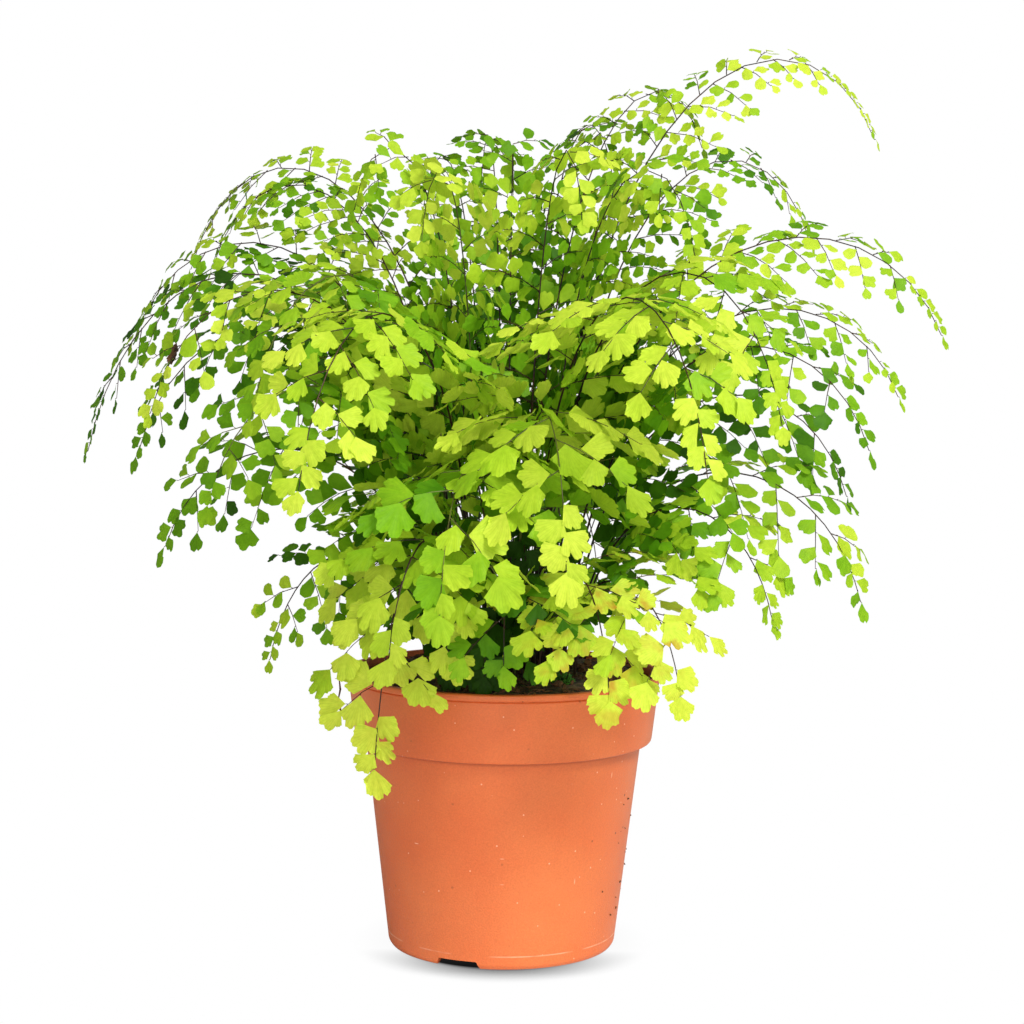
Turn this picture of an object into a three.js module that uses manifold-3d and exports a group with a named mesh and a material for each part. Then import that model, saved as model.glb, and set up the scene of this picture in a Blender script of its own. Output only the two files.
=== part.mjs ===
import * as THREE from 'three';
import Module from 'manifold-3d';
import { mergeVertices } from 'three/addons/utils/BufferGeometryUtils.js';

// Potted maidenhair fern, in millimetres, +Z up. The origin is on the pot's axis, on the surface
// that the pot stands on, and the front is towards -Y.

const wasm = await Module();
wasm.setup();

// Pot: a thin moulded shell with a foot, a tapered body, a plain band and a rolled bead.
const potSides = 32;
const potHeight = 105;
const beadRadius = 60.4;
const beadHeight = 2.6;
const beadSlope = 0.5;
const bandTopRadius = 59.1;
const bandFootRadius = 56.4;
const bandFootHeight = 79;
const bodyTopRadius = 52.4;
const bodyFootRadius = 43.3;
const footRadius = 42.2;
const footWidth = 2.2;
const footHeight = 2.4;
const footBevel = 1.5;
const potWall = 1.3;
const floorThickness = 1.8;
const notchCount = 3;
const notchFirstAngle = -112;
const notchWidth = 13;
const notchHeight = 2.1;
const notchFlare = 1.5;
const notchDepth = 8;
const drainCount = 4;
const drainRadius = 4.5;
const drainCircle = 26;
const drainSides = 8;

// Soil: fills the pot to just under the bead, with a slightly uneven top.
const soilSides = 24;
const soilGap = 0.5;
const soilTop = 101;
const soilUnevenness = 1.2;

// Stalks stand in plain holes in the soil.
const stalkRadius = 1;
const stalkClearOfSoil = 3;
const stalkLean = 0.08;
const stalkShoulder = 0.84;
const stalkSteps = 7;
const endBladeStart = 0.74;
const rootDepth = 20;
const holeRadius = 2.9;
const holeSides = 3;
const rootInner = 10;
const rootOuter = 34;
const rootStagger = 2.5;
const crestHighest = 322;
const crestLowest = 135;

// Leaf blades: thin arched outlines, cut to the rib into fan-shaped leaflets.
const bladeThickness = 0.7;
const ribHalfWidth = 0.7;
const rootHalfWidth = 0.3;
const leafletFoot = 1.2;
const bladeOverlap = 2;
const bladeClearance = 0.5;
const slimEdge = 0.01;
const bladeCup = 0.004;
const bladeLengthBase = 28;
const bladeLengthPerLeaf = 1.8;
const bladeSpread = 60;
const bladeSink = 0.42;
const sideBlades = 3;
const sideBladeLongest = 1.05;
const sideBladeShortening = 0.12;
const firstBladeStep = 3;
const sideRoll = 30;
const rollSpread = 24;
const endRollShare = 0.6;
const sideLeaflets = 2;
const endLeaflets = 6;
const leafletCrowding = 1.4;
const leafletAngle = 64;
const leafEnlargement = 4.5;
const leafLengthShare = 0.95;
const simpleLeafWidth = 15.6;

// One row for each frond: heading in degrees from +X, anticlockwise seen from above, then the tip's
// reach from the pot's axis, the height of the arch's crest, the tip's height, the leaflets' width,
// and the spread, which is its side blades' share of the usual length.
const frondRows = [
  [-119, 92, 160, 82, 13, 0.75],
  [-67, 94, 150, 108, 12, 0.9],
  [-90, 84, 146, 120, 12, 1],
  [-80, 118, 206, 156, 14, 1],
  [-112, 104, 162, 124, 13, 0.92],
  [-54, 104, 146, 110, 12, 0.8],
  [-100, 122, 186, 142, 14, 1],
  [-66, 158, 244, 190, 12, 1],
  [-115, 156, 238, 184, 12, 1],
  [-46, 134, 252, 204, 11, 1],
  [-138, 118, 250, 204, 11, 1],
  [10, 142, 324, 308, 7, 0.8],
  [36, 94, 312, 306, 7, 1],
  [62, 90, 302, 292, 7, 1],
  [16, 122, 290, 268, 7, 1],
  [-6, 161, 263, 234, 8, 1],
  [-14, 146, 238, 212, 8, 1],
  [-26, 142, 226, 194, 9, 1],
  [-12, 134, 182, 136, 10, 1],
  [3, 130, 208, 172, 10, 1],
  [-142, 130, 212, 174, 10, 1],
  [-167, 128, 188, 154, 10, 1],
  [-155, 94, 152, 114, 8, 0.8],
  [177, 160, 252, 186, 8, 1],
  [-172, 138, 232, 186, 9, 1],
  [-156, 138, 244, 204, 9, 1],
  [164, 120, 280, 256, 7, 1],
  [154, 142, 288, 256, 7, 1],
  [171, 146, 260, 228, 8, 1],
  [116, 80, 290, 280, 7, 1],
  [98, 86, 298, 288, 7, 1],
  [-60, 52, 288, 274, 9, 1],
  [-125, 54, 282, 266, 9, 1],
  [-172, 58, 290, 278, 8, 1],
  [-28, 76, 284, 262, 9, 1],
  [88, 38, 294, 286, 8, 1],
  [54, 134, 236, 190, 9, 1],
  [75, 148, 236, 190, 9, 1],
  [104, 148, 224, 180, 9, 1],
  [129, 138, 240, 192, 9, 1],
  [-27, 108, 170, 132, 11, 0.9],
  [70, 118, 168, 114, 10, 1],
  [112, 114, 172, 120, 10, 1],
];

const plastic = new THREE.MeshStandardMaterial({ color: 0xe07a45, roughness: 0.55, metalness: 0 });
const peat = new THREE.MeshStandardMaterial({ color: 0x2b2118, roughness: 1, metalness: 0 });
const foliage = new THREE.MeshStandardMaterial({ color: 0x86bb2c, roughness: 0.6, metalness: 0 });

function seededRandom(seed) {
  let state = seed * 7919 + 17;
  return () => {
    state = (state * 1664525 + 1013904223) % 4294967296;
    return state / 4294967296;
  };
}

function solidOf(positions, triangles) {
  return new wasm.Manifold(new wasm.Mesh({
    numProp: 3,
    vertProperties: new Float32Array(positions),
    triVerts: new Uint32Array(triangles),
  }));
}

function solidFrom(geometry) {
  const bare = geometry.clone();
  bare.deleteAttribute('normal');
  bare.deleteAttribute('uv');
  const merged = mergeVertices(bare, 1e-4);
  return solidOf(merged.attributes.position.array, merged.index.array);
}

function meshOf(name, solid, material) {
  const result = solid.getMesh();
  const geometry = new THREE.BufferGeometry();
  geometry.setAttribute('position', new THREE.BufferAttribute(result.vertProperties, 3));
  geometry.setIndex(new THREE.BufferAttribute(result.triVerts, 1));
  geometry.computeVertexNormals();
  const mesh = new THREE.Mesh(geometry, material);
  mesh.name = name;
  return mesh;
}

// A lathe turned so that its axis is +Z.
function turned(profile, sides) {
  const points = profile.map(([radius, height]) => new THREE.Vector2(radius, height));
  return new THREE.LatheGeometry(points, sides).rotateX(Math.PI / 2);
}

function onCircle(radius, angle, height) {
  const radians = THREE.MathUtils.degToRad(angle);
  return new THREE.Vector3(radius * Math.cos(radians), radius * Math.sin(radians), height);
}

const floorTop = footHeight + floorThickness;
const bodyInnerTop = bodyTopRadius - potWall;
const bodyInnerFoot = bodyFootRadius - potWall;
const bandInnerTop = bandTopRadius - potWall;
const bandInnerFoot = bandFootRadius - potWall;

function pot() {
  const shell = solidFrom(turned([
    [0, footHeight],
    [footRadius - footWidth, footHeight],
    [footRadius - footWidth, 0],
    [footRadius, 0],
    [bodyFootRadius, footBevel],
    [bodyTopRadius, bandFootHeight],
    [bandFootRadius, bandFootHeight],
    [bandTopRadius, potHeight - beadHeight],
    [beadRadius, potHeight - beadHeight + beadSlope],
    [beadRadius - beadSlope, potHeight],
    [bandInnerTop, potHeight],
    [bandInnerFoot, bandFootHeight + potWall],
    [bodyInnerTop, bandFootHeight],
    [bodyInnerFoot, floorTop],
    [0, floorTop],
  ], potSides));
  return cutDrains(cutNotches(shell));
}

// Notches in the foot, wider at the surface, each cut from the pot's foot inwards.
function cutNotches(shell) {
  const below = -1;
  const outline = new THREE.Shape([
    new THREE.Vector2(-notchWidth / 2 - notchFlare, below),
    new THREE.Vector2(notchWidth / 2 + notchFlare, below),
    new THREE.Vector2(notchWidth / 2, notchHeight),
    new THREE.Vector2(-notchWidth / 2, notchHeight),
  ]);
  let cut = shell;
  for (let index = 0; index < notchCount; index++) {
    const block = new THREE.ExtrudeGeometry(outline, { depth: notchDepth, bevelEnabled: false });
    block.rotateX(Math.PI / 2).translate(0, notchDepth * 0.6 - footRadius, 0);
    const angle = notchFirstAngle + 90 + index * 360 / notchCount;
    block.rotateZ(THREE.MathUtils.degToRad(angle));
    cut = cut.subtract(solidFrom(block));
  }
  return cut;
}

function cutDrains(shell) {
  let cut = shell;
  for (let index = 0; index < drainCount; index++) {
    const drill = new THREE.CylinderGeometry(drainRadius, drainRadius, 4 * floorTop, drainSides);
    const place = onCircle(drainCircle, (index + 0.5) * 360 / drainCount, footHeight);
    drill.rotateX(Math.PI / 2).translate(place.x, place.y, place.z);
    cut = cut.subtract(solidFrom(drill));
  }
  return cut;
}

function soilSurface(x, y) {
  return soilTop + soilUnevenness * Math.sin(x / 11 + 0.6) * Math.cos(y / 9);
}

function soil(stalks) {
  const bandRise = (soilTop - bandFootHeight) / (potHeight - bandFootHeight);
  const edge = THREE.MathUtils.lerp(bandInnerFoot, bandInnerTop, bandRise) - 2 * soilGap;
  const geometry = turned([
    [0, floorTop + soilGap],
    [bodyInnerFoot - soilGap, floorTop + soilGap],
    [bodyInnerTop - soilGap, bandFootHeight + 2 * soilGap],
    [bandInnerFoot - 2 * soilGap, bandFootHeight + potWall + 3 * soilGap],
    [edge, soilTop],
    [edge * 0.6, soilTop],
    [0, soilTop],
  ], soilSides);
  const position = geometry.attributes.position;
  for (let index = 0; index < position.count; index++) {
    if (position.getZ(index) > soilTop - 1) {
      position.setZ(index, soilSurface(position.getX(index), position.getY(index)));
    }
  }
  let lump = solidFrom(geometry);
  const holeDepth = rootDepth + 2 * soilGap;
  for (const { root } of stalks) {
    const hole = new THREE.CylinderGeometry(holeRadius, holeRadius, 2 * holeDepth, holeSides);
    hole.rotateX(Math.PI / 2).translate(root.x, root.y, soilTop);
    lump = lump.subtract(solidFrom(hole));
  }
  return lump;
}

// A stalk rises straight out of the soil and arches over in the upright plane of its heading. The
// arch's two middle points share a height that brings its middle to the crest.
class StalkCurve extends THREE.Curve {
  constructor(heading, rootRadius, reach, crest, tip) {
    super();
    const span = reach - rootRadius;
    const start = soilTop + stalkClearOfSoil;
    const pull = (crest - (start + tip) / 8) * 4 / 3;
    this.root = onCircle(rootRadius, heading, soilTop - rootDepth);
    this.arch = new THREE.CubicBezierCurve3(
      onCircle(rootRadius, heading, start),
      onCircle(rootRadius + span * stalkLean, heading, pull),
      onCircle(rootRadius + span * stalkShoulder, heading, pull),
      onCircle(reach, heading, tip),
    );
    this.buried = (start - this.root.z) / (start - this.root.z + this.arch.getLength());
  }

  getPoint(t, target = new THREE.Vector3()) {
    if (t < this.buried) {
      return target.copy(this.root).lerp(this.arch.v0, t / this.buried);
    }
    return this.arch.getPoint((t - this.buried) / (1 - this.buried), target);
  }
}

// Fronds that reach to the sides turn their faces to the front, or to the back where they are
// well behind the pot's axis.
function frondRoll(heading) {
  const radians = THREE.MathUtils.degToRad(heading);
  const towards = Math.sin(radians) > 0.6 ? -1 : 1;
  return sideRoll * Math.cos(radians) * towards;
}

function readFrond(row, index) {
  const [heading, reach, crest, tip, leaf, spread] = row;
  const height = (crest - crestLowest) / (crestHighest - crestLowest);
  const stagger = (index % 3 - 1) * rootStagger;
  const rootRadius = THREE.MathUtils.lerp(rootOuter, rootInner, height) + stagger;
  const curve = new StalkCurve(heading, rootRadius, reach, crest, tip);
  return {
    index,
    leaf,
    spread,
    curve,
    points: stalkPoints(curve),
    flank: onCircle(1, heading + 90, 0),
    root: curve.root,
    roll: frondRoll(heading),
    random: seededRandom(index + 1),
  };
}

// The stalk's points up to where the end blade takes over, in equal steps.
function stalkPoints(curve) {
  const points = [];
  for (let step = 0; step <= stalkSteps; step++) {
    points.push(curve.getPointAt(step / stalkSteps * endBladeStart));
  }
  return points;
}

// A three-sided stalk, one corner up: a ring at each point, with straight sides between them.
function stalk(frond) {
  const { points, flank } = frond;
  const positions = [];
  const triangles = [0, 2, 1];
  points.forEach((point, step) => {
    const before = points[Math.max(step - 1, 0)];
    const after = points[Math.min(step + 1, stalkSteps)];
    const top = after.clone().sub(before).normalize().cross(flank);
    for (let corner = 0; corner < 3; corner++) {
      const angle = corner * 2 * Math.PI / 3;
      positions.push(...point.clone()
        .addScaledVector(top, stalkRadius * Math.cos(angle))
        .addScaledVector(flank, -stalkRadius * Math.sin(angle)).toArray());
      if (step < stalkSteps) {
        const here = step * 3 + corner;
        const beside = step * 3 + (corner + 1) % 3;
        triangles.push(here, beside, beside + 3, here, beside + 3, here + 3);
      }
    }
  });
  const last = stalkSteps * 3;
  triangles.push(last, last + 1, last + 2);
  return solidOf(positions, triangles);
}

// Fan-shaped leaflet outline, from its near corner round to its far corner: along and across the
// leaflet's own axis, as shares of its length and width.
const fanOutline = [[0.6, -0.5], [0.96, -0.3], [1, 0.2], [0.64, 0.5]];
const simpleFanOutline = [[0.66, -0.5], [1, -0.05], [0.7, 0.5]];

function leaflet(at, angle, length, width, simple) {
  const turn = THREE.MathUtils.degToRad(angle);
  const side = Math.sign(angle) || -1;
  const outline = simple ? simpleFanOutline : fanOutline;
  return outline.map(([along, across]) => {
    const u = along * length;
    const v = -across * width * side;
    return new THREE.Vector2(
      at + u * Math.cos(turn) - v * Math.sin(turn),
      u * Math.sin(turn) + v * Math.cos(turn),
    );
  });
}

// A blade's outline along its rib: leaflets in turn on the left and right, and one at the end.
// A rib with leaflets on both sides also has a point across from the foot of each.
function bladeOutline(length, width, most) {
  const leafLength = width * leafLengthShare;
  const simple = width < simpleLeafWidth;
  const ribLength = Math.max(length - leafLength, leafLength * 0.6);
  const fitting = Math.floor(1 + leafletCrowding * ribLength / width);
  const count = Math.max(1, Math.min(most, fitting));
  const sides = {
    1: [new THREE.Vector2(0, rootHalfWidth)],
    '-1': [new THREE.Vector2(0, -rootHalfWidth)],
  };
  for (let index = 0; index < count - 1; index++) {
    const side = index % 2 ? -1 : 1;
    const at = (ribLength - 0.3 * width) * (index + 1) / (count - 0.5);
    const edge = side * ribHalfWidth;
    sides[side].push(new THREE.Vector2(at - leafletFoot, edge));
    sides[side].push(...leaflet(at, side * leafletAngle, leafLength, width, simple));
    sides[side].push(new THREE.Vector2(at + leafletFoot, edge));
    if (count > sideLeaflets) {
      sides[-side].push(new THREE.Vector2(at, -edge));
    }
  }
  const end = leaflet(ribLength, 0, leafLength, width, simple);
  return [...sides['-1'], ...end, ...sides[1].reverse()];
}

function areaOf(points) {
  return Math.abs(THREE.ShapeUtils.area(points));
}

// Leaflets that would cross each other in the outline are narrowed until they don't.
function splitOutline(length, leaf, most) {
  for (let width = leaf + leafEnlargement; width > 1; width *= 0.94) {
    const outline = bladeOutline(length, width, most);
    const faces = THREE.ShapeUtils.triangulateShape(outline, []);
    const covered = faces.reduce((sum, face) => sum + areaOf(face.map(i => outline[i])), 0);
    if (faces.length === outline.length - 2 && Math.abs(covered - areaOf(outline)) < 1e-3) {
      return { outline, faces: stoutFaces(outline) };
    }
  }
  throw new Error('no outline');
}

// Of all the ways to split an outline into faces, the one with the least slim faces. Slim ones
// would fold over where the blade bends.
function stoutFaces(outline) {
  const splits = outline.map(() => []);
  for (let span = 1; span < outline.length; span++) {
    for (let from = 0; from + span < outline.length; from++) {
      splits[from][from + span] = bestSplit(outline, splits, from, from + span);
    }
  }
  return splits[0][outline.length - 1].faces;
}

function bestSplit(outline, splits, from, to) {
  let best = { slimness: to > from + 1 ? Infinity : 0, faces: [] };
  for (let middle = from + 1; middle < to; middle++) {
    const before = splits[from][middle];
    const after = splits[middle][to];
    const corners = [outline[from], outline[middle], outline[to]];
    const slimness = before.slimness + after.slimness + faceSlimness(corners);
    if (slimness < best.slimness) {
      best = { slimness, faces: [...before.faces, ...after.faces, [from, middle, to]] };
    }
  }
  return best;
}

// A face's longest edge over its height, squared, and no number for a face that is inside out.
function faceSlimness([a, b, c]) {
  const longest = Math.max(a.distanceTo(b), b.distanceTo(c), c.distanceTo(a));
  const height = 2 * THREE.ShapeUtils.area([a, b, c]) / longest;
  return height > 0 ? (longest / height) ** 2 : Infinity;
}

// Lays an outline on an arched surface and gives it its thickness, split alike on both faces.
function bladeSolid({ outline, faces }, place, thickness) {
  const positions = [];
  for (const half of [thickness / 2, -thickness / 2]) {
    for (const { x, y } of outline) {
      positions.push(...place(x, y, half).toArray());
    }
  }
  const count = outline.length;
  const triangles = [];
  for (const [a, b, c] of faces) {
    triangles.push(a, b, c, a + count, c + count, b + count);
  }
  for (let index = 0; index < count; index++) {
    const next = (index + 1) % count;
    triangles.push(index, index + count, next, next, index + count, next + count);
  }
  return solidOf(positions, triangles);
}

// A point on a blade's surface: along the rib, across it, and off the surface, which cups.
function onSurface(ribPoint, heading, across, v, lift) {
  const normal = heading.clone().cross(across).normalize();
  const side = normal.clone().cross(heading);
  return ribPoint.addScaledVector(side, v).addScaledVector(normal, lift - bladeCup * v * v);
}

// A side blade grows midway along a step of the stalk. It sinks under its own weight as far as it
// can without a twist.
function sidePlace(frond, plan, roll, turn) {
  const from = frond.points[plan.step];
  const to = frond.points[plan.step + 1];
  const forward = to.clone().sub(from).normalize();
  const base = from.clone().lerp(to, 0.5);
  const flank = frond.flank.clone().applyAxisAngle(forward, roll);
  const angle = THREE.MathUtils.degToRad(plan.side * (bladeSpread + turn));
  const direction = forward.clone().multiplyScalar(Math.cos(angle))
    .addScaledVector(flank, Math.sin(angle));
  const across = flank.clone().multiplyScalar(Math.cos(angle))
    .addScaledVector(forward, -Math.sin(angle));
  const down = new THREE.Vector3(0, 0, -1);
  down.addScaledVector(across, -down.dot(across));
  return (u, v, lift) => {
    const sunk = bladeSink * u / plan.length;
    const heading = direction.clone().addScaledVector(down, 2 * sunk).normalize();
    const point = base.clone().addScaledVector(direction, u).addScaledVector(down, sunk * u);
    return onSurface(point, heading, across, v, lift);
  };
}

// The end blade starts just inside the stalk's end and carries on along the arch.
function endPlace(frond, roll) {
  const whole = frond.curve.getLength();
  const ownRoll = roll * endRollShare;
  return (u, v, lift) => {
    const at = endBladeStart + (u - bladeOverlap) / whole;
    const heading = frond.curve.getTangentAt(Math.min(at, 1));
    const point = frond.curve.getPointAt(Math.min(at, 1));
    point.addScaledVector(heading, Math.max(at - 1, 0) * whole);
    const across = frond.flank.clone().applyAxisAngle(heading, ownRoll);
    return onSurface(point, heading, across, v, lift);
  };
}

// The side blades from the lowest up, then the end blade.
function bladePlans(frond) {
  const plans = [];
  const first = frond.random() < 0.5 ? 1 : -1;
  for (let order = 0; order < sideBlades; order++) {
    const side = order % 2 ? -first : first;
    const share = frond.spread * (sideBladeLongest - sideBladeShortening * order);
    const length = share * (bladeLengthBase + bladeLengthPerLeaf * frond.leaf);
    plans.push({ step: firstBladeStep + order, side, length, count: sideLeaflets });
  }
  const rest = frond.curve.getLength() * (1 - endBladeStart);
  plans.push({ side: 0, length: rest, count: endLeaflets });
  return plans;
}

// Bends that a blade may take to pass its neighbours: roll and turn in degrees, and its size.
const bends = [];
for (const size of [1, 0.85, 0.7, 0.58]) {
  for (const turn of [0, -12, 12, -24, 20]) {
    for (const roll of [0, 14, -14, 28, -28, 44, -44, 60, -60]) {
      bends.push({ roll, turn, size });
    }
  }
}

function boxOf(solid) {
  const { min, max } = solid.boundingBox();
  return new THREE.Box3(new THREE.Vector3(...min), new THREE.Vector3(...max));
}

function makeBlade(frond, plan, bend, baseRoll) {
  const roll = THREE.MathUtils.degToRad(baseRoll + bend.roll);
  const length = plan.length * bend.size;
  const place = plan.side ? sidePlace(frond, plan, roll, bend.turn) : endPlace(frond, roll);
  const outline = splitOutline(length, frond.leaf * bend.size, plan.count);
  return {
    solid: bladeSolid(outline, place, bladeThickness),
    guard: bladeSolid(outline, place, bladeThickness + 2 * bladeClearance),
  };
}

function isClear(guard, box, placed, own) {
  for (const other of placed) {
    if (other.frond === own && other.isStalk) {
      continue;
    }
    if (box.intersectsBox(other.box) && !guard.intersect(other.solid).isEmpty()) {
      return false;
    }
  }
  return true;
}

function growBlades(frond, placed) {
  const blades = [];
  for (const plan of bladePlans(frond)) {
    const baseRoll = frond.roll + (frond.random() - 0.5) * rollSpread;
    for (const bend of bends) {
      const { solid, guard } = makeBlade(frond, plan, bend, baseRoll);
      const box = boxOf(guard);
      if (isClear(guard, box, placed, frond)) {
        placed.push({ frond, solid, box: boxOf(solid), isStalk: false });
        blades.push(solid);
        break;
      }
    }
  }
  return blades;
}

const group = new THREE.Group();
const fronds = frondRows.map(readFrond);
const potSolid = pot();
const soilSolid = soil(fronds);
group.add(meshOf('pot', potSolid, plastic));
group.add(meshOf('soil', soilSolid, peat));

const placed = [
  { solid: potSolid, box: boxOf(potSolid) },
  { solid: soilSolid, box: boxOf(soilSolid) },
];
for (const frond of fronds) {
  frond.stalk = stalk(frond);
  placed.push({ frond, solid: frond.stalk, box: boxOf(frond.stalk), isStalk: true });
}
for (const frond of fronds) {
  const whole = growBlades(frond, placed)
    .reduce((sum, blade) => sum.add(blade), frond.stalk)
    .simplify(slimEdge);
  const number = String(frond.index + 1).padStart(2, '0');
  group.add(meshOf(`frond_${number}`, whole, foliage));
}

export default group;
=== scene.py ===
import math
import random

import bmesh
import bpy
from mathutils import Euler, Matrix, Vector


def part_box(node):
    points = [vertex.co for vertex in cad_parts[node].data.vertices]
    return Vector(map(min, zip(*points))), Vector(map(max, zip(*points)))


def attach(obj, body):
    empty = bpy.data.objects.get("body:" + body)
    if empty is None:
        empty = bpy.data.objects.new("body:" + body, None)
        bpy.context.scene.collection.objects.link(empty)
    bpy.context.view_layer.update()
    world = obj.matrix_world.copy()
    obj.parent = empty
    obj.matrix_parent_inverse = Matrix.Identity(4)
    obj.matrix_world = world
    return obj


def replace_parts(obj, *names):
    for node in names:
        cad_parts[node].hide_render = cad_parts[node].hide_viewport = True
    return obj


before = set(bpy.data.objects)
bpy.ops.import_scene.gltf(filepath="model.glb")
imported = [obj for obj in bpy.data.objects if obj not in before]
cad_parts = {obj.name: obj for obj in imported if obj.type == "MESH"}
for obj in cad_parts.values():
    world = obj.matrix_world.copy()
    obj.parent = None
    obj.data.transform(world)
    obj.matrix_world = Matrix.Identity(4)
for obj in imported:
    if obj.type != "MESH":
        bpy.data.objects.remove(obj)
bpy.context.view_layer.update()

# Potted maidenhair fern. Sizes in the dictionaries are in millimetres and angles in degrees, unless
# a note says otherwise.
mm = 0.001
upward = Vector((0, 0, 1))
black = (0, 0, 0, 1)
white = (1, 1, 1, 1)


def deselectAll():
    if bpy.context.object and bpy.context.object.mode != "OBJECT":
        bpy.ops.object.mode_set(mode="OBJECT")
    bpy.ops.object.select_all(action="DESELECT")


def workOn(piece):
    deselectAll()
    piece.select_set(True)
    bpy.context.view_layer.objects.active = piece


def toMode(mode):
    bpy.ops.object.mode_set(mode=mode)


def selectAll():
    bpy.ops.mesh.select_all(action="SELECT")


def called(name):
    piece = bpy.context.object
    piece.name = name
    piece.data.name = name
    return piece


def selectWhere(piece, test):
    cage = bmesh.from_edit_mesh(piece.data)
    bpy.ops.mesh.select_all(action="DESELECT")
    for point in cage.verts:
        point.select_set(test(point.co))
    cage.select_flush(True)
    bmesh.update_edit_mesh(piece.data)


def applyModifiers(piece):
    workOn(piece)
    for modifier in list(piece.modifiers):
        bpy.ops.object.modifier_apply(modifier=modifier.name)


def settle(piece):
    workOn(piece)
    bpy.ops.object.transform_apply(location=True, rotation=True, scale=True)


def joined(pieces, name):
    deselectAll()
    for piece in pieces:
        piece.select_set(True)
    bpy.context.view_layer.objects.active = pieces[0]
    bpy.ops.object.join()
    settle(pieces[0])
    return called(name)


def copyOf(shape):
    piece = shape.copy()
    piece.data = shape.data.copy()
    bpy.context.scene.collection.objects.link(piece)
    return piece


def removed(piece):
    data = piece.data
    bpy.data.objects.remove(piece)
    bpy.data.meshes.remove(data)


def smoothTo(piece, degrees):
    workOn(piece)
    bpy.ops.object.shade_smooth_by_angle(angle=math.radians(degrees))


def onCircle(radius, degrees, height=0.0):
    turn = math.radians(degrees)
    return Vector((radius * math.cos(turn), radius * math.sin(turn), height))


def inDisc(draw, reach):
    return onCircle(reach * math.sqrt(draw.random()), draw.uniform(0, 360))


def scatter(draw, spread):
    return Vector([draw.gauss(0, spread) for _ in range(3)])


def mixed(a, b, share):
    return a + (b - a) * share


# The photograph's view: a long lens a little above the plant's middle, a touch off level.
camera = {"place": (2.3, -900, 246.8), "down": 5.18, "roll": 0.64, "lens": 83.85, "sensor": 36}


def setCamera():
    bpy.ops.object.camera_add(location=Vector(camera["place"]) * mm)
    made = called("camera")
    made.data.lens = camera["lens"]
    made.data.sensor_width = camera["sensor"]
    level = Euler((math.radians(90 - camera["down"]), 0, 0)).to_matrix()
    roll = Matrix.Rotation(math.radians(camera["roll"]), 3, "Z")
    made.rotation_euler = (level @ roll).to_euler()
    bpy.context.scene.camera = made


setCamera()
print("camera set")


# Helpers for the materials. An input is either a value or another node's socket.
def feed(tree, node, inputs):
    for key, value in inputs.items():
        if isinstance(value, bpy.types.NodeSocket):
            tree.links.new(value, node.inputs[key])
        else:
            node.inputs[key].default_value = value


def addNode(tree, kind, inputs=None, **settings):
    node = tree.nodes.new("ShaderNode" + kind)
    for key, value in settings.items():
        setattr(node, key, value)
    feed(tree, node, inputs or {})
    return node


def newMaterial(name):
    material = bpy.data.materials.new(name)
    material.use_nodes = True
    tree = material.node_tree
    return material, tree, tree.nodes["Principled BSDF"]


def blended(tree, share, first, second, blend="MIX"):
    inputs = {0: share, 6: first, 7: second}
    return addNode(tree, "Mix", inputs, data_type="RGBA", blend_type=blend).outputs[2]


def calc(tree, operation, first, second=0.0):
    return addNode(tree, "Math", {0: first, 1: second}, operation=operation).outputs[0]


def times(tree, first, second):
    return calc(tree, "MULTIPLY", first, second)


def rising(tree, value, low, high, toLow=0.0, toHigh=1.0):
    node = addNode(tree, "MapRange", {
        "Value": value, "From Min": low, "From Max": high, "To Min": toLow, "To Max": toHigh})
    return node.outputs["Result"]


def sRGB(code):
    parts = [int(code[i:i + 2], 16) / 255 for i in (1, 3, 5)]
    return (*[c / 12.92 if c <= 0.04045 else ((c + 0.055) / 1.055) ** 2.4 for c in parts], 1)


def newGroup(name, inputs, outputs):
    group = bpy.data.node_groups.new(name, "ShaderNodeTree")
    for side, sockets in (("INPUT", inputs), ("OUTPUT", outputs)):
        for label, kind in sockets.items():
            group.interface.new_socket(name=label, in_out=side, socket_type="NodeSocket" + kind)
    nodes = group.nodes
    return group, nodes.new("NodeGroupInput").outputs, nodes.new("NodeGroupOutput")


# Soft blotches of two colours, with a mask for bump or roughness.
def makeMottle():
    group, given, result = newGroup(
        "mottle",
        {"Vector": "Vector", "Scale": "Float", "Low": "Float", "High": "Float", "Dark": "Color",
         "Light": "Color"},
        {"Color": "Color", "Mask": "Float"})
    noise = addNode(group, "TexNoise", {
        "Vector": given["Vector"], "Scale": given["Scale"], "Detail": 4})
    mask = rising(group, noise.outputs["Fac"], given["Low"], given["High"])
    colour = blended(group, mask, given["Dark"], given["Light"])
    feed(group, result, {"Color": colour, "Mask": mask})
    return group


# Small scattered spots: a cell shows its spot where its own random value is under Amount.
def makeSpecks():
    group, given, result = newGroup(
        "specks",
        {"Vector": "Vector", "Scale": "Float", "Amount": "Float", "Size": "Float"},
        {"Mask": "Float"})
    cells = addNode(group, "TexVoronoi", {"Vector": given["Vector"], "Scale": given["Scale"]})
    value = addNode(group, "SeparateColor", {"Color": cells.outputs["Color"]})
    chosen = calc(group, "LESS_THAN", value.outputs["Red"], given["Amount"])
    inner = times(group, given["Size"], 0.5)
    spot = rising(group, cells.outputs["Distance"], inner, given["Size"], 1, 0)
    feed(group, result, {"Mask": times(group, spot, chosen)})
    return group


mottle = makeMottle()
specks = makeSpecks()


# The pattern is its scale, then the noise levels at which the light colour starts and is full.
def mottled(tree, where, pattern, dark=black, light=white):
    scale, low, high = pattern
    node = addNode(tree, "Group", {
        "Vector": where, "Scale": scale, "Low": low, "High": high, "Dark": dark,
        "Light": light}, node_tree=mottle)
    return node.outputs["Color"], node.outputs["Mask"]


# The pattern is its scale, the share of cells with a spot, and the spots' size.
def specked(tree, where, pattern):
    scale, amount, size = pattern
    node = addNode(tree, "Group", {
        "Vector": where, "Scale": scale, "Amount": amount, "Size": size}, node_tree=specks)
    return node.outputs["Mask"]


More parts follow.
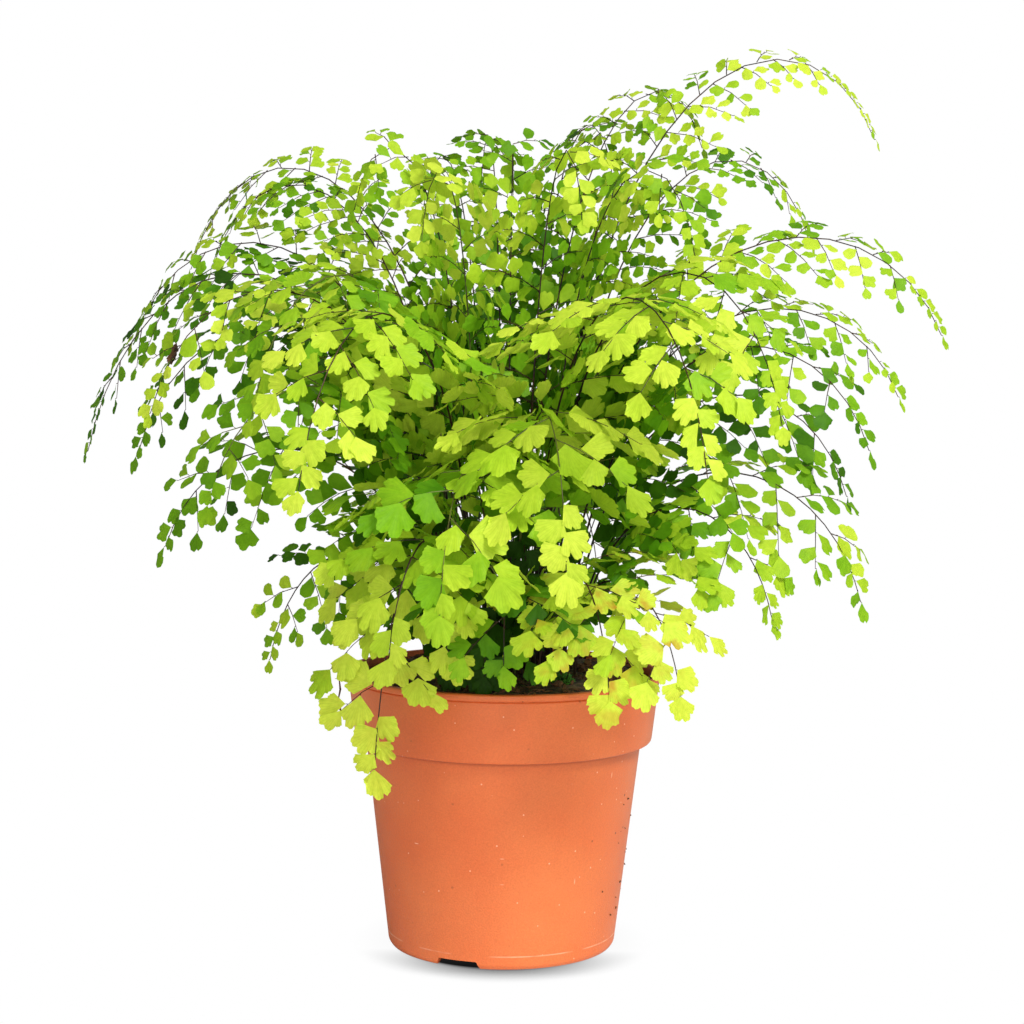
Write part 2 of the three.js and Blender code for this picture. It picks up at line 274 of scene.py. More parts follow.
def objectPlace(tree, stretch=(1, 1, 1), shift=(0, 0, 0)):
    where = addNode(tree, "TexCoord")
    moved = addNode(tree, "Mapping", {
        "Vector": where.outputs["Object"], "Location": shift, "Scale": stretch})
    return moved.outputs["Vector"]


def partsOf(tree, vector):
    return addNode(tree, "SeparateXYZ", {0: vector}).outputs


def addBump(tree, shader, height, strength, distance):
    bump = addNode(tree, "Bump", {
        "Strength": strength, "Distance": distance * mm, "Height": height})
    feed(tree, shader, {"Normal": bump.outputs["Normal"]})


# The material shows two shaders, the second one by the share given.
def showBoth(tree, share, first, second):
    both = addNode(tree, "MixShader", {0: share, 1: first.outputs[0], 2: second.outputs[0]})
    feed(tree, tree.nodes["Material Output"], {"Surface": both.outputs[0]})


# Pot: thin moulded plastic, with a foot, a tapered body, a plain band and a rolled bead.
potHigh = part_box("pot")[1]
pot = {
    "sides": 144,
    "height": potHigh.z / mm,
    "beadRadius": potHigh.x / mm,
    "beadHeight": 2.3,
    "grooveDepth": 0.5,
    "grooveHeight": 0.9,
    "bandTop": 59.1,  # radii of the band and the body
    "bandFoot": 56.4,
    "bodyTop": 52.4,
    "bodyFoot": 43.3,
    "bandFootHeight": 79,
    "footRadius": 42.2,
    "footWidth": 2.2,
    "footHeight": 2.4,
    "footBevel": 1.5,
    "wall": 1.3,
    "floor": 4.2,
    "lipHeight": 3,  # of the thicker lip inside the bead
    "lipStep": 0.5,
    "notches": 3,
    "notchAngle": -112,
    "notchWidth": 15,
    "notchHeight": 2.9,
    "notchFlare": 2.0,
    "notchDepth": 8,
    "notchRounding": 0.35,
    "drains": 4,
    "drainRadius": 4.5,
    "drainCircle": 26,
    "drainSides": 40,
    "drillLength": 20,
    "cutBelow": 2,  # how far the notches' cutters start under the pot
}


# Corners given as (radius, height, rounding) become short arcs.
def roundedProfile(corners, steps=4):
    profile = []
    for number, (radius, height, rounding) in enumerate(corners):
        here = Vector((radius, height))
        if rounding == 0:
            profile.append(here)
            continue
        before = Vector(corners[number - 1][:2])
        after = Vector(corners[number + 1][:2])
        start = here + (before - here).normalized() * rounding
        end = here + (after - here).normalized() * rounding
        for step in range(steps + 1):
            t = step / steps
            profile.append(start * (1 - t) ** 2 + here * 2 * t * (1 - t) + end * t ** 2)
    return profile


# A ring is extruded and scaled along the profile, and the two open ends are closed.
def raiseRings(profile, sides, name):
    reach = profile[0].x * mm
    foot = profile[0].y * mm
    nearly = 1e-6
    deselectAll()
    bpy.ops.mesh.primitive_circle_add(
        vertices=sides, radius=reach, fill_type="NOTHING", location=(0, 0, 0))
    piece = called(name)
    toMode("EDIT")
    selectAll()
    bpy.ops.transform.translate(value=(0, 0, foot))
    for here, after in zip(profile, profile[1:]):
        bpy.ops.mesh.extrude_region_move(
            TRANSFORM_OT_translate={"value": (0, 0, (after.y - here.y) * mm)})
        grow = after.x / here.x
        bpy.ops.transform.resize(value=(grow, grow, 1), center_override=(0, 0, after.y * mm))
    bpy.ops.mesh.edge_face_add()
    selectWhere(piece, lambda co: abs(co.z - foot) < nearly and abs(co.xy.length - reach) < nearly)
    bpy.ops.mesh.edge_face_add()
    selectAll()
    bpy.ops.mesh.normals_make_consistent(inside=False)
    toMode("OBJECT")
    return piece


def cutAway(piece, cutter):
    cut = piece.modifiers.new("cut", "BOOLEAN")
    cut.operation = "DIFFERENCE"
    cut.solver = "EXACT"
    cut.object = cutter
    applyModifiers(piece)
    removed(cutter)


def notchCutter(angle):
    below = pot["cutBelow"]
    height = pot["notchHeight"] + below
    deselectAll()
    bpy.ops.mesh.primitive_cube_add(size=1, location=(0, 0, 0))
    block = called("notchCutter")
    toMode("EDIT")
    bpy.ops.transform.resize(value=(pot["notchWidth"] * mm, pot["notchDepth"] * mm, height * mm))
    bpy.ops.transform.translate(value=(0, -pot["footRadius"] * mm, (height / 2 - below) * mm))
    selectWhere(block, lambda co: co.z < 0)
    flare = 1 + 2 * pot["notchFlare"] / pot["notchWidth"]
    bpy.ops.transform.resize(value=(flare, 1, 1), center_override=(0, 0, 0))
    selectAll()
    bpy.ops.mesh.bevel(offset=pot["notchRounding"] * mm, segments=2)
    toMode("OBJECT")
    block.rotation_euler.z = math.radians(angle + 90)
    settle(block)
    return block


def drainCutter(angle):
    deselectAll()
    bpy.ops.mesh.primitive_cylinder_add(
        vertices=pot["drainSides"], radius=pot["drainRadius"] * mm,
        depth=pot["drillLength"] * mm, location=onCircle(pot["drainCircle"] * mm, angle))
    drill = called("drainCutter")
    settle(drill)
    return drill


def makePot():
    p = pot
    beadFoot = p["height"] - p["beadHeight"]
    footInside = p["footRadius"] - p["footWidth"]
    lip = p["bandTop"] - p["wall"]
    corners = [
        (footInside, p["footHeight"], 0),
        (footInside, 0, 0.3),
        (p["footRadius"], 0, 0.5),
        (p["bodyFoot"], p["footBevel"], 0.7),
        (p["bodyTop"], p["bandFootHeight"], 0.5),
        (p["bandFoot"], p["bandFootHeight"], 1.1),
        (p["bandTop"], beadFoot - p["grooveHeight"], 0.3),
        (p["bandTop"] - p["grooveDepth"], beadFoot - p["grooveHeight"] / 2, 0.2),
        (p["beadRadius"], beadFoot, 0.7),
        (p["beadRadius"], p["height"] - 0.1, 0.8),
        (lip, p["height"], 0.5),
        (lip - p["lipStep"], p["height"] - p["lipHeight"], 0.5),
        (p["bandFoot"] - p["wall"], p["bandFootHeight"] + p["wall"], 0.8),
        (p["bodyTop"] - p["wall"], p["bandFootHeight"], 0.8),
        (p["bodyFoot"] - p["wall"], p["floor"], 0),
    ]
    piece = raiseRings(roundedProfile(corners), p["sides"], "fernPot")
    for index in range(p["notches"]):
        cutAway(piece, notchCutter(p["notchAngle"] + index * 360 / p["notches"]))
    for index in range(p["drains"]):
        cutAway(piece, drainCutter((index + 0.5) * 360 / p["drains"]))
    smoothTo(piece, 32)
    return piece


plastic = {
    "dark": sRGB("#D46430"),
    "light": sRGB("#E17C44"),
    "clouds": (14, 0.3, 0.7),
    "grain": (1700, 0.3, 0.7),
    "grainShade": (0.86, 0.83, 0.81, 1),
    "grainHeight": 0.25,
    "roughness": (0.42, 0.56),
    "scuff": sRGB("#F8CDAC"),
    "scuffShare": 0.6,
    # pale scuffs, upright, level and round: the pattern's stretch and shift, and the pattern
    "scuffs": (
        ((1, 1, 0.22), (0.3, 0, 0), (300, 0.06, 0.13)),
        ((0.3, 0.3, 1.6), (0.1, 0.2, 0), (210, 0.03, 0.08)),
        ((1, 1, 1), (0, 0, 0), (520, 0.05, 0.2)),
    ),
    # painted shade under the band: its colour, where it starts, is full and ends, and its strength
    "paintedBandShade": sRGB("#8E3A1C"),
    "cornerReach": (1.6, 0.4, -0.3),  # under the band: where it starts, is full and ends
    "cornerShare": 0.6,
    "wornLine": 5.2,  # its height, then its half width, sharp and soft
    "wornWidth": (0.1, 0.35),
    "wornShare": 0.5,
    "wornPatches": (55, 0.46, 0.6),
    "dirt": sRGB("#5A2E1C"),
    "dirtDots": (330, 0.06, 0.2),
    "dirtReach": (20, 50),  # there is more of it towards the right
    "dirtShare": (0.35, 1.0),
}


def plasticMaterial():
    look = plastic
    material, tree, shader = newMaterial("terracottaPlastic")
    where = objectPlace(tree)
    parts = partsOf(tree, where)
    clouds, _ = mottled(tree, where, look["clouds"], look["dark"], look["light"])
    grain, grainMask = mottled(tree, where, look["grain"], look["grainShade"])
    base = blended(tree, 1.0, clouds, grain, "MULTIPLY")
    pale = 0.0
    for stretch, shift, pattern in look["scuffs"]:
        marks = specked(tree, objectPlace(tree, stretch, shift), pattern)
        pale = calc(tree, "MAXIMUM", pale, marks)
    base = blended(tree, times(tree, pale, look["scuffShare"]), base, look["scuff"])
    # painted shade in the corner under the band, where the band's ledge shades the body
    start, full, end = [(pot["bandFootHeight"] - reach) * mm for reach in look["cornerReach"]]
    corner = rising(tree, parts["Z"], start, full, 0.0, look["cornerShare"])
    corner = times(tree, corner, calc(tree, "LESS_THAN", parts["Z"], end))
    base = blended(tree, corner, base, look["paintedBandShade"])
    # a worn pale line just above the foot
    fromLine = calc(tree, "SUBTRACT", parts["Z"], look["wornLine"] * mm)
    fromLine = calc(tree, "ABSOLUTE", fromLine)
    sharp, soft = look["wornWidth"]
    worn = rising(tree, fromLine, sharp * mm, soft * mm, look["wornShare"], 0.0)
    _, patches = mottled(tree, where, look["wornPatches"])
    base = blended(tree, times(tree, worn, patches), base, look["scuff"])
    # dark grains of dirt
    near, far = look["dirtReach"]
    soiled = rising(tree, parts["X"], near * mm, far * mm, *look["dirtShare"])
    dirty = times(tree, specked(tree, where, look["dirtDots"]), soiled)
    base = blended(tree, dirty, base, look["dirt"])
    roughness = rising(tree, grainMask, 0, 1, *look["roughness"])
    feed(tree, shader, {
        "Base Color": base, "Roughness": roughness, "Specular IOR Level": 0.4,
        "Subsurface Weight": 0.15, "Subsurface Radius": (1.0, 0.4, 0.2),
        "Subsurface Scale": 0.002})
    addBump(tree, shader, grainMask, 0.25, look["grainHeight"])
    return material


potPiece = makePot()
potPiece.data.materials.append(plasticMaterial())
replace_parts(potPiece, "pot")
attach(potPiece, "root")
print("pot done")


# Soil: dark peat with an uneven, crumbly top, and crumbs and fibres on it.
soil = {
    "sides": 120,
    "top": 101,
    "unevenness": 1.2,
    "waves": (11, 9, 0.6),  # their lengths across and along, and their shift
    "swell": 5.0,
    "swellReach": 57,
    "gap": 0.5,
    "ringStep": 1.5,
    "lumps": 1.7,
    "lumpSize": 5,
    "lumpsFade": 3,  # from the wall
    "crumbShapes": ((3, (1, 0.8, 0.6)), (8, (1, 0.45, 0.35)), (14, (1, 0.9, 0.8))),
    "crumbs": 420,
    "crumbReach": 55,
    "crumbSize": 2.2,
    "fibres": 320,
    "fibreReach": 54,
    "fibreTurn": 32,  # from each stretch to the next
    "fibreStretch": (1.2, 3.4),
    "fibreRadius": (0.1, 0.3),
    "fibreTaper": (1, 1, 1, 0.8, 0.4),
}
rimHeap = {"count": 34, "angle": (184, 4), "reach": (55, 60.5), "crest": 58.5, "size": (0.7, 1.7)}
clinging = {"count": 18, "angle": (-12, 13), "height": (8, 62), "size": (0.2, 0.5)}


# The surface swells from the pot's wall towards the stalks in the middle.
def soilHeight(x, y):
    across, along, shift = soil["waves"]
    swell = soil["swell"] * max(0, 1 - (math.hypot(x, y) / soil["swellReach"]) ** 4)
    wave = soil["unevenness"] * math.sin(x / across + shift) * math.cos(y / along)
    return soil["top"] + swell + wave


def makeSoil():
    s, p = soil, pot
    rise = (s["top"] - p["bandFootHeight"]) / (p["height"] - p["bandFootHeight"])
    inside = p["wall"] + s["gap"]
    edge = mixed(p["bandFoot"], p["bandTop"], rise) - p["wall"] - s["gap"]
    profile = [
        Vector((p["bodyFoot"] - inside, p["floor"] + s["gap"])),
        Vector((p["bodyTop"] - inside, p["bandFootHeight"])),
        Vector((p["bandFoot"] - inside - s["gap"], p["bandFootHeight"] + p["wall"] + 2 * s["gap"])),
        Vector((edge, s["top"])),
    ]
    radius = edge
    while radius > 2 * s["ringStep"]:
        radius -= s["ringStep"]
        profile.append(Vector((radius, s["top"])))
    piece = raiseRings(profile, s["sides"], "peat")
    top = piece.vertex_groups.new(name="top")
    for point in piece.data.vertices:
        if point.co.z > (s["top"] - s["gap"]) * mm:
            point.co.z = soilHeight(point.co.x / mm, point.co.y / mm) * mm
            inward = min(1, max(0, (edge - point.co.xy.length / mm) / s["lumpsFade"]))
            top.add([point.index], inward, "REPLACE")
    lumps = bpy.data.textures.new("peatLumps", "CLOUDS")
    lumps.noise_scale = s["lumpSize"] * mm
    lumps.noise_depth = 3
    push = piece.modifiers.new("lumps", "DISPLACE")
    push.texture = lumps
    push.texture_coords = "LOCAL"
    push.direction = "Z"
    push.strength = s["lumps"] * mm
    push.vertex_group = "top"
    applyModifiers(piece)
    smoothTo(piece, 50)
    return piece


def crumbShape(seed, squeeze):
    deselectAll()
    bpy.ops.mesh.primitive_ico_sphere_add(subdivisions=2, radius=1, location=(0, 0, 0))
    crumb = called("crumb")
    toMode("EDIT")
    selectAll()
    bpy.ops.transform.vertex_random(offset=0.35, uniform=0.4, normal=0.6, seed=seed)
    bpy.ops.transform.resize(value=squeeze)
    toMode("OBJECT")
    smoothTo(crumb, 40)
    return crumb


def anyTurn(draw):
    return Euler([draw.uniform(0, 2 * math.pi) for _ in range(3)]).to_quaternion()


def setCrumb(shape, spot, turn, size):
    crumb = copyOf(shape)
    crumb.matrix_world = Matrix.LocRotScale(spot * mm, turn, Vector([size * mm] * 3))
    return crumb


def scatterCrumbs(shapes):
    draw = random.Random(11)
    pieces = []
    for _ in range(soil["crumbs"]):
        spot = inDisc(draw, soil["crumbReach"])
        spot.z = soilHeight(spot.x, spot.y) + 0.3
        size = draw.uniform(0.35, 1.0) ** 2 * soil["crumbSize"]
        pieces.append(setCrumb(draw.choice(shapes), spot, anyTurn(draw), size))
    # bark and peat heaped over the rim on the left
    heap = rimHeap
    for _ in range(heap["count"]):
        angle = draw.gauss(*heap["angle"])
        reach = draw.uniform(*heap["reach"])
        height = pot["height"] + 0.6 - abs(reach - heap["crest"]) * 0.5 + draw.uniform(0, 3)
        spot = onCircle(reach, angle, height)
        pieces.append(setCrumb(draw.choice(shapes), spot, anyTurn(draw),
                               draw.uniform(*heap["size"])))
    # grains that cling to the pot's right side
    grain = clinging
    for _ in range(grain["count"]):
        height = draw.uniform(*grain["height"])
        wall = mixed(pot["bodyFoot"], pot["bodyTop"], height / pot["bandFootHeight"])
        spot = onCircle(wall + 0.1, draw.gauss(*grain["angle"]), height)
        pieces.append(setCrumb(draw.choice(shapes), spot, anyTurn(draw),
                               draw.uniform(*grain["size"])))
    return joined(pieces, "peatCrumbs")


# Round wires through lists of points, all in one mesh. Each wire is (points, radii).
def wires(paths, name):
    curve = bpy.data.curves.new(name, "CURVE")
    curve.dimensions = "3D"
    curve.bevel_depth = mm
    curve.bevel_resolution = 1
    curve.use_fill_caps = True
    for points, radii in paths:
        line = curve.splines.new("POLY")
        line.points.add(len(points) - 1)
        for vertex, point, radius in zip(line.points, points, radii):
            vertex.co = (*(point * mm), 1)
            vertex.radius = radius
    piece = bpy.data.objects.new(name, curve)
    bpy.context.scene.collection.objects.link(piece)
    workOn(piece)
    bpy.ops.object.convert(target="MESH")
    bpy.ops.object.shade_smooth_by_angle(angle=math.radians(50))
    return called(name)


def makeFibres():
    draw = random.Random(23)
    paths = []
    for _ in range(soil["fibres"]):
        spot = inDisc(draw, soil["fibreReach"])
        heading = draw.uniform(0, 360)
        points = []
        for _ in soil["fibreTaper"]:
            height = soilHeight(spot.x, spot.y) + 0.5 + draw.uniform(0, 0.9)
            points.append(Vector((spot.x, spot.y, height)))
            heading += draw.gauss(0, soil["fibreTurn"])
            spot = spot + onCircle(draw.uniform(*soil["fibreStretch"]), heading)
        width = draw.uniform(*soil["fibreRadius"])
        paths.append((points, [width * share for share in soil["fibreTaper"]]))
    return wires(paths, "peatFibres")


peatLook = {
    "dark": sRGB("#1A130B"),
    "light": sRGB("#665234"),
    "earth": (320, 0.35, 0.72),
    "moss": sRGB("#66702C"),
    "mossSpecks": (420, 0.22, 0.42),
    "mossShare": 0.7,
}
barkLook = {"dark": sRGB("#1B100A"), "light": sRGB("#7A5232"), "pattern": (240, 0.3, 0.7)}


def peatMaterial():
    look = peatLook
    material, tree, shader = newMaterial("pottingPeat")
    where = objectPlace(tree)
    earth, clods = mottled(tree, where, look["earth"], look["dark"], look["light"])
    green = times(tree, specked(tree, where, look["mossSpecks"]), look["mossShare"])
    tone = blended(tree, green, earth, look["moss"])
    feed(tree, shader, {"Base Color": tone, "Roughness": 0.95})
    addBump(tree, shader, clods, 0.8, 0.8)
    return material


def barkMaterial():
    look = barkLook
    material, tree, shader = newMaterial("barkCrumb")
    tone, ridges = mottled(tree, objectPlace(tree), look["pattern"], look["dark"], look["light"])
    feed(tree, shader, {"Base Color": tone, "Roughness": 0.9})
    addBump(tree, shader, ridges, 0.7, 0.4)
    return material


def finishPiece(piece, material, slot, *replaced):
    piece.data.materials.clear()
    piece.data.materials.append(material)
    if replaced:
        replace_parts(piece, *replaced)
    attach(piece, "root")


crumbShapes = [crumbShape(seed, squeeze) for seed, squeeze in soil["crumbShapes"]]
bark = barkMaterial()
finishPiece(makeSoil(), peatMaterial(), "potting_soil", "soil")
finishPiece(scatterCrumbs(crumbShapes), bark, "potting_soil")
finishPiece(makeFibres(), bark, "potting_soil")
for shape in crumbShapes:
    removed(shape)
print("soil done")


# Leaflets: small fans with lobed, finely scalloped outer edges, modelled once at a length of 1.
# Each shape has the angle that its fan spans, its number of spokes, its lobes' reaches, and how
# deep the notches between the lobes are and how far the corners are cut back.
leafletShapes = {
    "broadFan": (126, 24, (0.86, 0.97, 1.0, 0.92), 0.15, 0.15),
    "tallFan": (94, 20, (0.90, 1.0, 0.97, 0.86), 0.14, 0.15),
    "splitFan": (120, 24, (0.86, 1.0, 0.98, 0.88), 0.22, 0.15),
    "lopsidedFan": (110, 20, (0.64, 0.84, 0.97, 1.0), 0.14, 0.15),
    "halfFan": (84, 18, (0.68, 0.92, 1.0), 0.14, 0.15),
    "smallFan": (112, 12, (0.90, 1.0, 0.92), 0.14, 0.2),
    "smallTallFan": (88, 10, (0.96, 1.0), 0.13, 0.25),
    "smallLopsidedFan": (102, 12, (0.70, 0.92, 1.0), 0.13, 0.2),
    "smallOval": (86, 8, (1.0,), 0.0, 0.42),
}
largeShapes = ["broadFan", "tallFan", "splitFan", "lopsidedFan", "lopsidedFan", "halfFan"]
smallShapes = ["smallFan", "smallTallFan", "smallLopsidedFan", "smallOval"]
leafletLook = {
    "middle": 0.55,  # where each spoke bends, and by how much
    "cup": 0.07,
    "ripple": 0.025,
    "scallop": 0.028,
    "flatShift": 1,  # keeps the UV map's places above 0
}


def modelLeaflet(name, fan, spokes, lobes, notch, corner):
    look = leafletLook
    # a plane's right side becomes the first spoke, bent in its middle
    deselectAll()
    bpy.ops.mesh.primitive_plane_add(size=1, location=(0, 0, 0))
    leaflet = called(name)
    toMode("EDIT")
    selectWhere(leaflet, lambda co: co.x < 0)
    bpy.ops.mesh.delete(type="VERT")
    selectAll()
    bpy.ops.transform.translate(value=(-0.5, 0.5, 0))
    bpy.ops.mesh.subdivide(number_cuts=1)
    selectWhere(leaflet, lambda co: 0.3 < co.y < 0.7)
    bpy.ops.transform.translate(value=(0, look["middle"] - 0.5, look["cup"]))
    # the spoke is turned to one side of the fan and spun to the other
    selectAll()
    half = math.radians(fan) / 2
    bpy.ops.transform.rotate(value=half, orient_axis="Z", center_override=(0, 0, 0))
    cage = bmesh.from_edit_mesh(leaflet.data)
    end = max(cage.verts, key=lambda point: point.co.length)
    bpy.ops.mesh.spin(steps=spokes, angle=2 * half, center=(0, 0, 0),
                      axis=(0, 0, -1 if end.co.x > 0 else 1))
    selectAll()
    bpy.ops.mesh.remove_doubles(threshold=0.001)
    # each spoke's outer end goes in or out, and up or down, by its place in its lobe
    for spoke in range(spokes + 1):
        along = spoke / spokes * len(lobes)
        lobe = min(int(along), len(lobes) - 1)
        within = abs(2 * (along - lobe) - 1) if 0 < spoke < spokes else 0
        reach = lobes[lobe] * (1 - corner * abs(2 * spoke / spokes - 1) ** 3)
        reach = reach * (1 - notch * within ** 5) - look["scallop"] * (spoke % 2)
        angle = mixed(-half, half, spoke / spokes)
        side = Vector((math.sin(angle), math.cos(angle)))
        selectWhere(leaflet, lambda co: co.length > 0.8 and co.xy.normalized().dot(side) > 0.9999)
        bpy.ops.transform.resize(value=(reach, reach, 1), center_override=(0, 0, 0))
        bpy.ops.transform.translate(value=(0, 0, look["ripple"] * (1 - 2 * within)))
    selectAll()
    bpy.ops.mesh.normals_make_consistent(inside=False)
    toMode("OBJECT")
    keepFlatPlace(leaflet)
    smoothTo(leaflet, 55)
    for label in ("tint", "rust"):
        leaflet.data.attributes.new(label, "FLOAT", "POINT")
    return leaflet


# The UV map holds each point's place in the leaflet's own plane, for the veins.
def keepFlatPlace(leaflet):
    layer = leaflet.data.uv_layers.new(name="leafPlace")
    for loop in leaflet.data.loops:
        co = leaflet.data.vertices[loop.vertex_index].co
        layer.data[loop.index].uv = (co.x + leafletLook["flatShift"], co.y)


leaflets = {name: modelLeaflet(name, *shape) for name, shape in leafletShapes.items()}
print("leaflets modelled")


# Fronds. One row for each, in the order of the nodes: heading from +X, the tip's reach from the
# pot's axis, the heights of crest and tip, the leaflets' width, the side branches' share of the
# usual length, and the tint from deep green (0) to bright lime (1).
frondRows = [
    (-119, 92, 160, 82, 13, 0.75, 0.95),
    (-67, 94, 150, 108, 12, 0.9, 0.98),
    (-90, 84, 146, 120, 12, 1, 0.30),
    (-80, 118, 206, 156, 14, 1, 1.0),
    (-112, 104, 162, 124, 13, 0.92, 0.90),
    (-54, 104, 146, 110, 12, 0.8, 0.95),
    (-100, 122, 186, 142, 14, 1, 0.62),
    (-66, 158, 244, 190, 12, 1, 0.86),
    (-115, 156, 238, 184, 12, 1, 0.78),
    (-46, 134, 252, 204, 11, 1, 0.70),
    (-138, 118, 250, 204, 11, 1, 0.56),
    (10, 142, 324, 308, 7, 0.8, 0.80),
    (36, 94, 312, 306, 7, 1, 0.60),
    (62, 90, 302, 292, 7, 1, 0.50),
    (16, 122, 290, 268, 7, 1, 0.50),
    (-6, 161, 263, 234, 8, 1, 0.64),
    (-14, 146, 238, 212, 8, 1, 0.56),
    (-26, 142, 226, 194, 9, 1, 0.34),
    (-12, 134, 182, 136, 10, 1, 0.56),
    (3, 130, 208, 172, 10, 1, 0.20),
    (-142, 130, 212, 174, 10, 1, 0.46),
    (-167, 128, 188, 154, 10, 1, 0.34),
    (-155, 94, 152, 114, 8, 0.8, 0.42),
    (177, 160, 252, 186, 8, 1, 0.25),
    (-172, 138, 232, 186, 9, 1, 0.32),
    (-156, 138, 244, 204, 9, 1, 0.85),
    (164, 120, 280, 256, 7, 1, 0.58),
    (154, 142, 288, 256, 7, 1, 0.72),
    (171, 146, 260, 228, 8, 1, 0.58),
    (116, 80, 290, 280, 7, 1, 0.48),
    (98, 86, 298, 288, 7, 1, 0.46),
    (-60, 52, 288, 274, 9, 1, 0.78),
    (-125, 54, 282, 266, 9, 1, 1.0),
    (-172, 58, 290, 278, 8, 1, 0.70),
    (-28, 76, 284, 262, 9, 1, 0.64),
    (88, 38, 294, 286, 8, 1, 0.48),
    (54, 134, 236, 190, 9, 1, 0.34),
    (75, 148, 236, 190, 9, 1, 0.35),
    (104, 148, 224, 180, 9, 1, 0.30),
    (129, 138, 240, 192, 9, 1, 0.35),
    (-27, 108, 170, 132, 11, 0.9, 0.64),
    (70, 118, 168, 114, 10, 1, 0.30),
    (112, 114, 172, 120, 10, 1, 0.30),
]
# Low dark sprigs between the front fronds: each has such a row and its root's place from the axis.
sprigs = [
    ((-114, 50, 138, 112, 12, 0.75, 0.12), 18),
    ((-106, 44, 150, 126, 12, 0.6, 0.16), 20),
    ((-98, 50, 134, 110, 12, 0.7, 0.18), 22),
    ((-78, 38, 158, 140, 11, 0.5, 0.08), 14),
    ((-60, 44, 150, 132, 10, 0.5, 0.12), 18),
]

frondForm = {
    "clearOfSoil": 3,
    "lean": 0.08,
    "shoulder": 0.84,
    "samples": 90,
    "rootDepth": 20,
    "rootReach": (34, 10),  # of the lowest fronds and of the tallest
    "rootStagger": 2.5,
    "crests": (135, 322),
    "sideRoll": 30,
    "rollSpread": 24,
    "stalkRadius": 0.52,
    "stalkTaper": (1.1, 0.32),
    "stalkSteps": 26,
    "thinnest": 0.75,  # stalks of small leaflets are thinner
    "firstBranch": 0.37,  # share of the stalk's length
    "fade": 0.75,  # how the side branches shorten towards the tip
    "branchGap": 0.92,  # along the stalk, in leaflet widths, as is the next one
    "shortestBranch": 1.2,
    "branchBase": 28,
    "branchPerLeaf": 1.8,
    "branchLongest": 1.05,
    "branchLengths": (0.88, 1.1),
    "branchSpread": 60,  # between stalk and side branch
    "branchWander": 9,
    "branchRoll": 8,
    "branchSink": 0.30,
    "branchRadius": 0.21,
    "branchStep": 9,
    "branchTint": 0.12,
    "tipGap": 0.342,  # between the leaflets at the stalk's end, in their widths
    "tipSize": 0.75,
    "tipTint": 0.06,
    "leafStalkRadius": 0.13,
    "leafStalk": (0.0, 0.08),  # length, in leaflet widths
    "leafletAngle": 50,  # between side branch and leaflet
    "leafletTurn": 10,
    "leafletLift": 0.5,
    "leafletSizes": (0.82, 1.15),
    "sizesAlong": (1.0, 0.8),  # from a branch's start to its end, and then the last leaflet's
    "lastSize": 0.82,
    "leafletBreadths": (0.8, 1.15),
    "leafletTint": 0.11,
    "tilt": 0.22,  # of a whole branch's leaflets, and then of one leaflet
    "flutter": 0.13,
    "shade": 0.72,  # painted shade: leaflets deep inside the bush get a darker tint
    "shadeReach": 78,
    "shadeHeight": 190,
    "largeFrom": 10.5,  # the leaflets' width from which the large shapes are used
    "rusty": {"frond_02": 1.0, "frond_06": 0.5, "frond_01": 0.15},
    "young": ("frond_04", "frond_07", "frond_11", "frond_21", "frond_33"),
}
# What changes with the leaflets' width: a value for the first width and one for the last.
leafWidths = (7, 14)
byLeafWidth = {
    "gap": (0.47, 0.38),  # between leaflets, in their widths, as are the next two
    "length": (0.93, 1.06),
    "breadth": (0.74, 0.87),
    "droop": (0.12, 0.32),
    "facing": (0.14, 0.5),  # how far the leaflets look outwards
}


# A stalk's course: straight up out of the soil, then an arch in the upright plane of its heading.
class Arch:
    def __init__(self, row, rootRadius):
        heading, reach, crest, tip = row[:4]
        f = frondForm
        span = reach - rootRadius
        start = soil["top"] + f["clearOfSoil"]
        pull = (crest - (start + tip) / 8) * 4 / 3
        corners = [
            onCircle(rootRadius, heading, start),
            onCircle(rootRadius + span * f["lean"], heading, pull),
            onCircle(rootRadius + span * f["shoulder"], heading, pull),
            onCircle(reach, heading, tip),
        ]
        self.points = [onCircle(rootRadius, heading, soil["top"] - f["rootDepth"])]
        for step in range(f["samples"] + 1):
            t = step / f["samples"]
            weights = ((1 - t) ** 3, 3 * t * (1 - t) ** 2, 3 * t * t * (1 - t), t ** 3)
            self.points.append(sum((w * c for w, c in zip(weights, corners)), Vector()))
        self.lengths = [0.0]
        for before, after in zip(self.points, self.points[1:]):
            self.lengths.append(self.lengths[-1] + (after - before).length)
        self.length = self.lengths[-1]
        self.flank = onCircle(1, heading + 90)
        self.outward = onCircle(1, heading)

    def at(self, share):
        target = share * self.length
        step = 1
        while step < len(self.lengths) - 1 and self.lengths[step] < target:
            step += 1
        run = self.lengths[step] - self.lengths[step - 1]
        within = (target - self.lengths[step - 1]) / run
        return self.points[step - 1].lerp(self.points[step], within)

    def along(self, share):
        return (self.at(min(share + 0.01, 1)) - self.at(max(share - 0.01, 0))).normalized()


# Taller fronds stand nearer to the pot's middle.
def rootRadiusOf(row, index):
    lowest, tallest = frondForm["crests"]
    height = (row[2] - lowest) / (tallest - lowest)
    return mixed(*frondForm["rootReach"], height) + (index % 3 - 1) * frondForm["rootStagger"]


# Fronds that reach to the sides turn their faces to the front, or to the back where they are well
# behind the pot's axis.
def frondRoll(heading):
    turn = math.radians(heading)
    towards = -1 if math.sin(turn) > 0.6 else 1
    return frondForm["sideRoll"] * math.cos(turn) * towards


# The same seeded draws as the frond's solid: the first side, then one roll for each blade.
def seededDraws(seed):
    state = seed * 7919 + 17
    while True:
        state = (state * 1664525 + 1013904223) % 4294967296
        yield state / 4294967296


def turnedBy(vector, axis, degrees):
    return Matrix.Rotation(math.radians(degrees), 3, axis) @ vector


